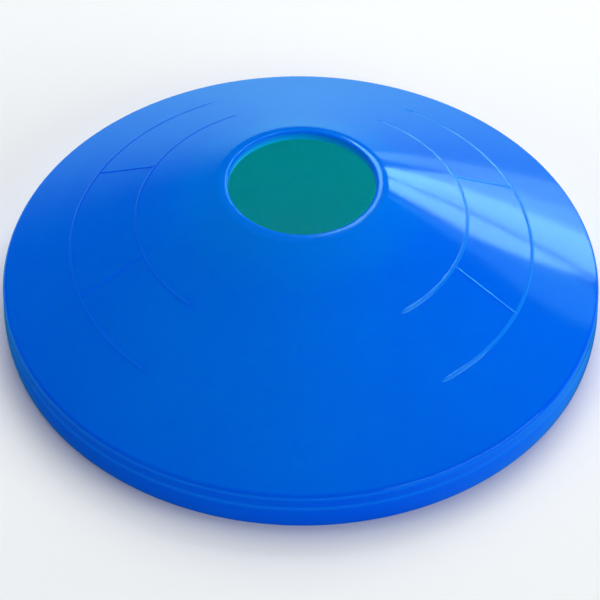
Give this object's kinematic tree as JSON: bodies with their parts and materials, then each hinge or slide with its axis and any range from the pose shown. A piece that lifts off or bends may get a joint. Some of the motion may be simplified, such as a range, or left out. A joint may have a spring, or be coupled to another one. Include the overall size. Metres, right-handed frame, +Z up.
{
  "type": "sports marker cone",
  "caption": "Low blue disc cone with an open crown hole, a straight sloping flank with thin raised arc lines and an upright rim; marks out a pitch or course and nests in a stack.",
  "frame": {"origin": "centre of the cone's axis on the plane that its foot stands on", "axes": "+Z up along the cone's axis, +X through the middle of the right-hand panel of raised lines, +Y to the back"},
  "size_m": [0.19, 0.19, 0.05],
  "materials": {
    "shell": "glossy, slightly see-through soft plastic"
  },
  "bodies": {
    "root": {"crown_lip": "shell", "cone_wall": "shell", "edge_skirt": "shell", "foot_bead": "shell", "right_panel_lines": "shell", "left_panel_lines": "shell"}
  },
  "joints": []
}
